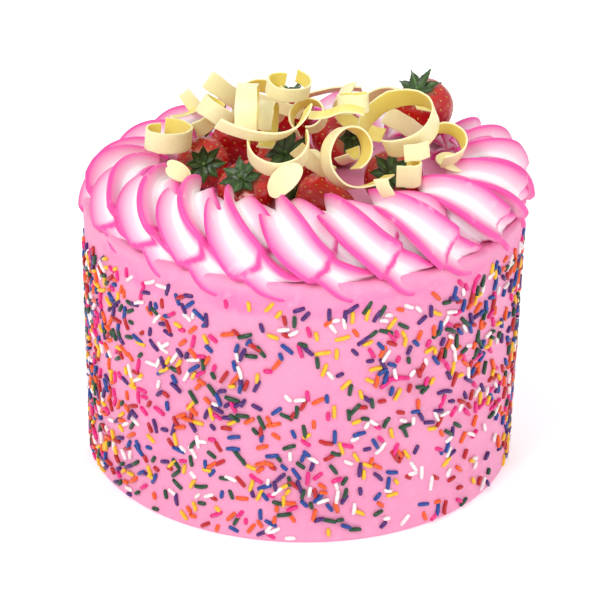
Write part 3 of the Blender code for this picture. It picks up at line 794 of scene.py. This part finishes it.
def add_stroke(bm, anchor, lead, crest_layer):
    """One squeeze of the star nozzle, with fins that open and run ahead at its start."""
    across, steps = STEPS_ACROSS, STEPS_ALONG
    frames = stroke_frames(anchor, steps)
    edge = {}

    def shape(u, v):
        share = round(v * steps) / steps
        point, tangent, normal, side = frames[round(v * steps)]
        turn = (u * NOZZLE_FINS) % 1.0
        fin = 1 - 2 * min(turn, 1 - turn)
        valley = 0.30 + 0.24 * smooth_step(share / 0.16) + 0.34 * smooth_step((share - 0.80) / 0.2)
        rim = 0.35 * fin + 0.65 * smooth_step((fin - 0.42) / 0.5)
        reach = valley + (1 - valley) * rim
        wave = math.sin(10 * share + 7 * anchor + 2.1 * round(u * NOZZLE_FINS))
        angle = math.tau * u + 0.35 * (share - 0.5) + 0.09 * wave * fin
        size = stroke_size(fin, share) * (1 + 0.03 * wave * fin)
        spot = point + size * reach * (math.cos(angle) * normal + math.sin(angle) * side)
        run = lead * fin * (1 - smooth_step(share / 0.35)) * smooth_step(share / 0.05)
        edge[(round(u * across) % across, round(v * steps))] = rim_share(fin, share)
        return spot - run * tangent

    made = bmesh.ops.create_grid(bm, x_segments=across, y_segments=steps, size=1.0)["verts"]
    for vert in made:
        u, v = 0.5 * vert.co.x + 0.5, 0.5 * vert.co.y + 0.5
        vert.co = shape(u, v)
        vert[crest_layer] = edge[(round(u * across) % across, round(v * steps))]
    bmesh.ops.remove_doubles(bm, verts=made, dist=0.000005)


def stroke_anchors():
    """Azimuths of the strokes: listed and uneven in front, evenly spaced behind."""
    back = [FRONT_STROKES[-1] + STROKE_PITCH * (k + 1) for k in range(BACK_STROKES)]
    return [math.radians(turn) for turn in list(FRONT_STROKES) + back]


class CAKE_OT_piped_border(bpy.types.Operator):
    """Pipe the rope border of star nozzle strokes round the top edge"""
    bl_idname = "cake.piped_border"
    bl_label = "Piped Border"

    def execute(self, context):
        settings = context.scene.cake_border
        bm = bmesh.new()
        crest = bm.verts.layers.float.new("crest")
        for anchor in stroke_anchors():
            add_stroke(bm, anchor, settings.fin_lead, crest)
        bmesh.ops.recalc_face_normals(bm, faces=bm.faces)
        make_piece(bm, "piped_rope", [border_finish(settings)], "piped_border")
        return {"FINISHED"}


# Strawberries

BERRY_SECTION = (            # shares of the radius and of the length
    (0.0, 0.03), (0.36, 0.0), (0.80, 0.07), (1.0, 0.26),
    (0.94, 0.50), (0.64, 0.77), (0.27, 0.95), (0.0, 0.985))
BERRY_STEPS = 120
GOLDEN_TURN = math.radians(137.508)
SEED_RADIUS = 0.5 * MM
SWELL = 0.9 * MM             # how uneven a berry is


def berry_section(length, radius):
    """Smooth half section through the listed points, as (radius, height, share)."""
    points = [Vector((across * radius, -along * length, along)) for across, along in BERRY_SECTION]
    ends = [2 * points[0] - points[1]] + points + [2 * points[-1] - points[-2]]
    curve = []
    for a, b, c, d in zip(ends, ends[1:], ends[2:], ends[3:]):
        for k in range(12):
            t = k / 12
            curve.append(0.5 * (2 * b + (c - a) * t + (2 * a - 5 * b + 4 * c - d) * t ** 2
                                + (3 * b - a - 3 * c + d) * t ** 3))
    curve.append(points[-1])
    return curve


def seed_spots(section, count):
    """Spots of the seeds in spiral rows, each with its outward normal."""
    lengths = [0.0]
    for a, b in zip(section, section[1:]):
        lengths.append(lengths[-1] + (a.xy - b.xy).length * max(0.5 * (a.x + b.x), 0.0))
    spots = []
    for k in range(count):
        level = lengths[-1] * (0.05 + 0.94 * (k + 0.5) / count)
        i = next(j for j in range(1, len(lengths)) if lengths[j] >= level)
        share = (level - lengths[i - 1]) / max(lengths[i] - lengths[i - 1], 1e-12)
        point = section[i - 1].lerp(section[i], share)
        slope = (section[i] - section[i - 1]).xy.normalized()
        turn = k * GOLDEN_TURN
        out = Vector((-slope.y * math.cos(turn), -slope.y * math.sin(turn), slope.x))
        spots.append((Vector((point.x * math.cos(turn), point.x * math.sin(turn), point.y)), out))
    return spots


def seed_mesh(spot, out, long):
    """One flat seed in its dimple, with its long side pointing down the berry."""
    seed = bmesh.new()
    bmesh.ops.create_uvsphere(seed, u_segments=6, v_segments=4, radius=SEED_RADIUS)
    down = Vector((0, 0, -1)) - Vector((0, 0, -1)).dot(out) * out
    down = down.normalized() if down.length > 0.1 else Vector((1, 0, 0)).cross(out).normalized()
    turned = Matrix((down, out.cross(down), out)).transposed().to_4x4()
    shape = Matrix.Diagonal((long, 0.85, 0.62, 1))
    bmesh.ops.transform(seed, matrix=Matrix.Translation(spot) @ turned @ shape, verts=seed.verts)
    return seed


def make_berry(number, berry, settings, materials):
    length, radius, lean, towards, leaflets = berry
    draw = random.Random(400 + number)
    section = berry_section(length * MM, radius * MM)
    bm = bmesh.new()
    ripe = bm.verts.layers.float.new("ripe")
    outline = [(point.x, point.y) for point in section]
    spin_outline(bm, outline, BERRY_STEPS, ripe, [point.z for point in section])
    bmesh.ops.recalc_face_normals(bm, faces=bm.faces)
    spots = seed_spots(section, settings.seeds)
    tree = KDTree(len(spots))
    for i, (spot, out) in enumerate(spots):
        tree.insert(spot, i)
    tree.balance()
    start = Vector((7.3 * number, 1.1 * number, 0))
    for vert in bm.verts:
        swell = SWELL * noise.noise(vert.co * 75 + start)
        near, index, away = tree.find(vert.co)
        hollow = settings.dimple * math.exp(-(away / (0.85 * MM)) ** 2)
        side = Vector((vert.co.x, vert.co.y, 0.3 * (vert.co.z + 0.4 * length * MM)))
        if side.length > 1e-6:
            vert.co += side.normalized() * (swell * min(1.0, side.xy.length / (4 * MM)) - hollow)
    flesh_faces = len(bm.faces)
    seeds = bmesh.new()
    for spot, out in spots:
        swell = SWELL * noise.noise(spot * 75 + start)
        lifted = spot + out * (swell - 0.55 * settings.dimple)
        append_mesh(seeds, seed_mesh(lifted, out, draw.uniform(1.25, 1.6)))
    append_mesh(bm, seeds)
    bm.faces.ensure_lookup_table()
    for face in bm.faces[flesh_faces:]:
        face.material_index = 1
    bmesh.ops.transform(bm, matrix=leaned(lean, towards), verts=bm.verts)
    centre_on_node(bm, bm.verts, f"strawberry_{number}")
    make_piece(bm, f"berry_{number}", materials, f"strawberry_{number}")


def add_leaflet(bm, azimuth, length, breadth, lift, curl, draw, rib_layer):
    """A pointed wavy leaf blade with a sunk middle rib, rooted at the berry's end."""
    out = Vector((math.cos(azimuth), math.sin(azimuth), 0))
    side = Vector((-math.sin(azimuth), math.cos(azimuth), 0))
    phase = draw.uniform(0, math.tau)
    wave = draw.uniform(0.25, 0.6) * MM
    made = bmesh.ops.create_grid(bm, x_segments=18, y_segments=8, size=1.0)["verts"]
    for vert in made:
        u, v = 0.5 * vert.co.x + 0.5, vert.co.y
        taper = (0.32 + 0.68 * math.sin(math.pi * min(1.0, u / 1.02) ** 0.85)) * (1 - u ** 5)
        rise = 0.9 * lift * length * u ** 2 + curl * u ** 4 + 0.1 * lift * length * u
        fold = 0.8 * MM * abs(v) ** 1.2 * math.sin(math.pi * min(u * 1.1, 1.0))
        ripple = wave * abs(v) * math.sin(9 * u + phase + (1.3 if v > 0 else 0))
        tooth = 1 + 0.07 * math.sin(34 * u) * abs(v) ** 4
        wide = 0.5 * breadth * taper * tooth
        vert.co = out * (u * length) + side * (v * wide) + Vector((0, 0, rise + fold + ripple))
        vert[rib_layer] = abs(v)


def make_leaves(number, berry, settings, materials):
    length, radius, lean, towards, leaflets = berry
    draw = random.Random(100 + number)
    for _ in range(BERRY_DRAWS):
        draw.uniform(-1, 1)
    extra = random.Random(700 + number)
    size = CALYX_SHARE * radius * MM
    bm = bmesh.new()
    rib = bm.verts.layers.float.new("rib")
    for k in range(leaflets):
        azimuth = math.tau * (k + draw.uniform(-0.06, 0.06)) / leaflets
        reach = size * draw.uniform(0.82, 1.12)
        lift = draw.uniform(0.0, 0.55)
        curl = draw.uniform(-1.5, 2.5) * MM
        add_leaflet(bm, azimuth, reach, LEAF_BREADTH * size / leaflets, lift, curl, extra, rib)
    bmesh.ops.remove_doubles(bm, verts=bm.verts, dist=0.000001)
    bmesh.ops.recalc_face_normals(bm, faces=bm.faces)
    bmesh.ops.solidify(bm, geom=bm.faces[:], thickness=0.45 * MM)
    stem = bmesh.ops.create_cone(bm, cap_ends=True, segments=12, radius1=1.3 * MM, radius2=0.75 * MM,
                                 depth=CALYX_STEM)["verts"]
    bmesh.ops.translate(bm, vec=(0, 0, 0.5 * CALYX_STEM - 0.2 * MM), verts=stem)
    lifted = Matrix.Translation((0, 0, 0.3 * MM + LEAF_THICKNESS))
    bmesh.ops.transform(bm, matrix=leaned(lean, towards) @ lifted, verts=bm.verts)
    bmesh.ops.recalc_face_normals(bm, faces=bm.faces)
    centre_on_node(bm, bm.verts, f"strawberry_leaves_{number}")
    make_piece(bm, f"leaves_{number}", materials, f"strawberry_leaves_{number}")


class CAKE_OT_strawberries(bpy.types.Operator):
    """Grow the strawberries with dimples, seeds and leaf stars"""
    bl_idname = "cake.strawberries"
    bl_label = "Strawberries"

    def execute(self, context):
        settings = context.scene.cake_berries
        berry_materials = [flesh_finish(settings), seed_finish()]
        leaf_materials = [leaf_finish(settings)]
        for number, berry in enumerate(STRAWBERRIES, start=1):
            make_berry(number, berry, settings, berry_materials)
            make_leaves(number, berry, settings, leaf_materials)
        return {"FINISHED"}


# White chocolate

CURL_STEP_TURN = 36.0
CURL_STEP_LENGTH = 12.0
WAVE_SEED = 3                # the vector noise starts from the clock unless it is seeded
RIM_ANGLE = math.radians(55)


def give_wall(piece, thickness, rim, segments):
    """Thickness with softened rims, as live modifiers."""
    wall = piece.modifiers.new("thickness", "SOLIDIFY")
    wall.thickness = thickness
    wall.offset = 0.0
    edge = piece.modifiers.new("soft_rim", "BEVEL")
    edge.width = rim
    edge.segments = segments
    edge.limit_method = "ANGLE"
    edge.angle_limit = RIM_ANGLE
    return wall


def bent_ribbon(bm, bends, width, drift, rim_layer):
    """Ribbon wound stretch by stretch: its cross edge is spun about each bend's centre."""
    half = 0.5 * width * MM
    start = bmesh.ops.create_vert(bm, co=(0, 0, -half))["vert"][0]
    start[rim_layer] = 1.0
    tip = start
    for k in range(1, 9):
        tip = bmesh.ops.extrude_vert_indiv(bm, verts=[tip])["verts"][0]
        tip.co = (0, 0, -half + width * MM * k / 8)
        tip[rim_layer] = abs(k / 4 - 1)
    geom = bm.verts[:] + bm.edges[:]
    spot = Vector((0.0, 0.0, 0.0))
    heading = 0.0
    total = sum(length for length, turn in bends)
    for length, turn in bends:
        pieces = max(1, math.ceil(max(abs(turn) / CURL_STEP_TURN, length / CURL_STEP_LENGTH)))
        angle = math.radians(turn)
        radius = length * MM / pieces / (2 * math.sin(angle / pieces / 2))
        centre = spot + radius * Vector((-math.sin(heading), math.cos(heading), 0))
        steps = max(6, int(length / 1.1))
        rise = Vector((0, 0, drift * MM * length / total / steps))
        made = bmesh.ops.spin(bm, geom=geom, cent=centre, axis=(0, 0, 1), dvec=rise,
                              angle=angle, steps=steps, use_merge=False)
        geom = made["geom_last"]
        heading += angle
        spot = centre + radius * Vector((math.sin(heading), -math.cos(heading), 0))


def make_curl(index, curl, settings, materials):
    name, bends, width, drift, turns = curl
    bm = bmesh.new()
    rim = bm.verts.layers.float.new("rim")
    bent_ribbon(bm, bends, width, drift, rim)
    bmesh.ops.remove_doubles(bm, verts=bm.verts, dist=0.00002)
    start = Vector((3.7 * index, 0, 0))
    for vert in bm.verts:
        ragged = noise.noise(vert.co * 140 + start) + 0.5 * noise.noise(vert.co * 420 + start)
        vert.co.z += 0.55 * MM * ragged * vert[rim] ** 6 * (1 if vert.co.z > 0 else -1)
        vert.co += 0.35 * MM * noise.noise_vector(vert.co * 90 + start) * (0.3 + 0.7 * vert[rim] ** 2)
    bmesh.ops.transform(bm, matrix=pose_of(turns), verts=bm.verts)
    centre_on_node(bm, bm.verts, name)
    piece = make_piece(bm, "ribbon_" + name[5:], materials, name)
    wall = give_wall(piece, settings.thickness, 0.22 * MM, 2)
    wall.use_even_offset = True
    wall.material_offset = 1
    # The rims take the third slot, the lighter painted-highlight copy
    wall.material_offset_rim = 2


def make_shaving(shaving, settings, materials):
    name, length, width, bow, turns = shaving
    bm = bmesh.new()
    bmesh.ops.create_circle(bm, cap_ends=True, segments=40, radius=1.0)
    for depth in (0.12, 0.2, 0.25, 0.2):
        top = max(bm.faces, key=lambda face: len(face.verts))
        bmesh.ops.inset_region(bm, faces=[top], thickness=depth, depth=0.0)
    rest = max(bm.faces, key=lambda face: len(face.verts))
    bmesh.ops.poke(bm, faces=[rest])
    for vert in bm.verts:
        x, y = vert.co.x, vert.co.y
        uneven = 1 + 0.05 * noise.noise(Vector((x * 2, y * 2, length)))
        vert.co = (0.5 * length * MM * x * uneven, 0.5 * width * MM * y * uneven,
                   -bow * MM * x * x + 0.25 * MM * noise.noise(Vector((x * 1.5, y * 1.5, width))))
    bmesh.ops.transform(bm, matrix=pose_of(turns), verts=bm.verts)
    centre_on_node(bm, bm.verts, name)
    piece = make_piece(bm, "flake_" + name[8:], materials, name)
    give_wall(piece, settings.thickness, 0.3 * MM, 3)


class CAKE_OT_chocolate(bpy.types.Operator):
    """Wind the white chocolate ribbons and lay the shavings"""
    bl_idname = "cake.chocolate"
    bl_label = "White Chocolate"

    def execute(self, context):
        settings = context.scene.cake_curls
        noise.seed_set(WAVE_SEED)
        outside, inside = settings.outside[:], settings.inside[:]
        outer = chocolate_finish("chocolate_outside", outside, tint(outside, 0.93))
        # Painted shade: a deeper yellow copy of the chocolate for the ribbons' inner faces, standing
        # in for the shade and bounced light inside the curls
        inner = chocolate_finish("chocolate_inside_shaded", inside, tint(inside, 0.92))
        # Painted highlight: a lighter copy of the outside colour for the ribbons' rims
        rim = chocolate_finish("chocolate_rim_highlight", tint(outside, 1.03), outside)
        for index, curl in enumerate(CURLS):
            make_curl(index, curl, settings, [inner, outer, rim])
        for shaving in SHAVINGS:
            # The shavings take the lighter painted-highlight copy all over
            make_shaving(shaving, settings, [rim])
        return {"FINISHED"}


# Stage

def add_light(name, spot, energy, size, target=(0, 0, 0.1)):
    light = bpy.data.lights.new(name, "AREA")
    light.energy = energy
    light.size = size
    lamp = bpy.data.objects.new(name, light)
    bpy.context.scene.collection.objects.link(lamp)
    lamp.location = spot
    lamp.rotation_mode = "QUATERNION"
    lamp.rotation_quaternion = (Vector(target) - Vector(spot)).to_track_quat("-Z", "Y")


class CAKE_OT_stage(bpy.types.Operator):
    """Set the pale floor, soft studio light and the camera"""
    bl_idname = "cake.stage"
    bl_label = "Stage"

    def execute(self, context):
        scene = context.scene
        bm = bmesh.new()
        bmesh.ops.create_grid(bm, x_segments=1, y_segments=1, size=6.0)
        mesh = bpy.data.meshes.new("floor")
        bm.to_mesh(mesh)
        bm.free()
        floor = bpy.data.objects.new("floor", mesh)
        scene.collection.objects.link(floor)
        finish = Finish("pale_floor", Roughness=0.6)
        colour, cloud = finish.mottle((0.96, 0.96, 0.96), (0.94, 0.94, 0.94), 3)
        finish.shader.inputs["Emission Color"].default_value = (1, 1, 1, 1)
        finish.shader.inputs["Emission Strength"].default_value = 0.25
        mesh.materials.append(finish.done(colour))
        world = bpy.data.worlds.new("studio")
        world.use_nodes = True
        sky = world.node_tree.nodes["Background"]
        sky.inputs["Color"].default_value = (1, 1, 1, 1)
        sky.inputs["Strength"].default_value = 0.70
        scene.world = world
        add_light("key", (-0.5, -0.8, 1.0), 6.8, 0.4)
        add_light("fill", (0.8, -0.7, 0.6), 2.7, 0.8)
        add_light("back", (0.1, 0.9, 0.9), 2.5, 0.8)
        camera = bpy.data.cameras.new("camera")
        camera.lens = CAMERA_LENS
        camera.sensor_width = 36
        camera.dof.use_dof = False
        holder = bpy.data.objects.new("camera", camera)
        scene.collection.objects.link(holder)
        holder.location = CAMERA_SPOT
        holder.rotation_mode = "QUATERNION"
        look = (CAMERA_TARGET - CAMERA_SPOT).to_track_quat("-Z", "Y")
        holder.rotation_quaternion = look @ Quaternion((0, 0, 1), CAMERA_ROLL)
        scene.camera = holder
        scene.view_settings.view_transform = "Standard"
        return {"FINISHED"}


class CAKE_PT_panel(bpy.types.Panel):
    """Buttons and settings of the cake"""
    bl_idname = "CAKE_PT_panel"
    bl_label = "Celebration Cake"
    bl_space_type = "VIEW_3D"
    bl_region_type = "UI"
    bl_category = "Cake"

    def draw(self, context):
        scene = context.scene
        for operator, settings in (
                ("cake.iced_body", scene.cake_icing), ("cake.sprinkles", scene.cake_sprinkles),
                ("cake.piped_border", scene.cake_border), ("cake.strawberries", scene.cake_berries),
                ("cake.chocolate", scene.cake_curls)):
            box = self.layout.box()
            for name in settings.__annotations__:
                box.prop(settings, name)
            box.operator(operator)
        self.layout.operator("cake.stage")


SETTINGS = (
    ("cake_icing", CakeIcing),
    ("cake_sprinkles", CakeSprinkles),
    ("cake_border", CakeBorder),
    ("cake_berries", CakeBerries),
    ("cake_curls", CakeCurls),
)
CLASSES = tuple(group for name, group in SETTINGS) + (
    CAKE_OT_iced_body,
    CAKE_OT_sprinkles,
    CAKE_OT_piped_border,
    CAKE_OT_strawberries,
    CAKE_OT_chocolate,
    CAKE_OT_stage,
    CAKE_PT_panel,
)


def register():
    for each in CLASSES:
        bpy.utils.register_class(each)
    for name, group in SETTINGS:
        setattr(bpy.types.Scene, name, PointerProperty(type=group))


def unregister():
    for name, group in SETTINGS:
        delattr(bpy.types.Scene, name)
    for each in reversed(CLASSES):
        bpy.utils.unregister_class(each)


def main():
    register()
    bpy.ops.cake.iced_body()
    bpy.ops.cake.sprinkles()
    bpy.ops.cake.piped_border()
    bpy.ops.cake.strawberries()
    bpy.ops.cake.chocolate()
    bpy.ops.cake.stage()


if __name__ == "__main__":
    main()
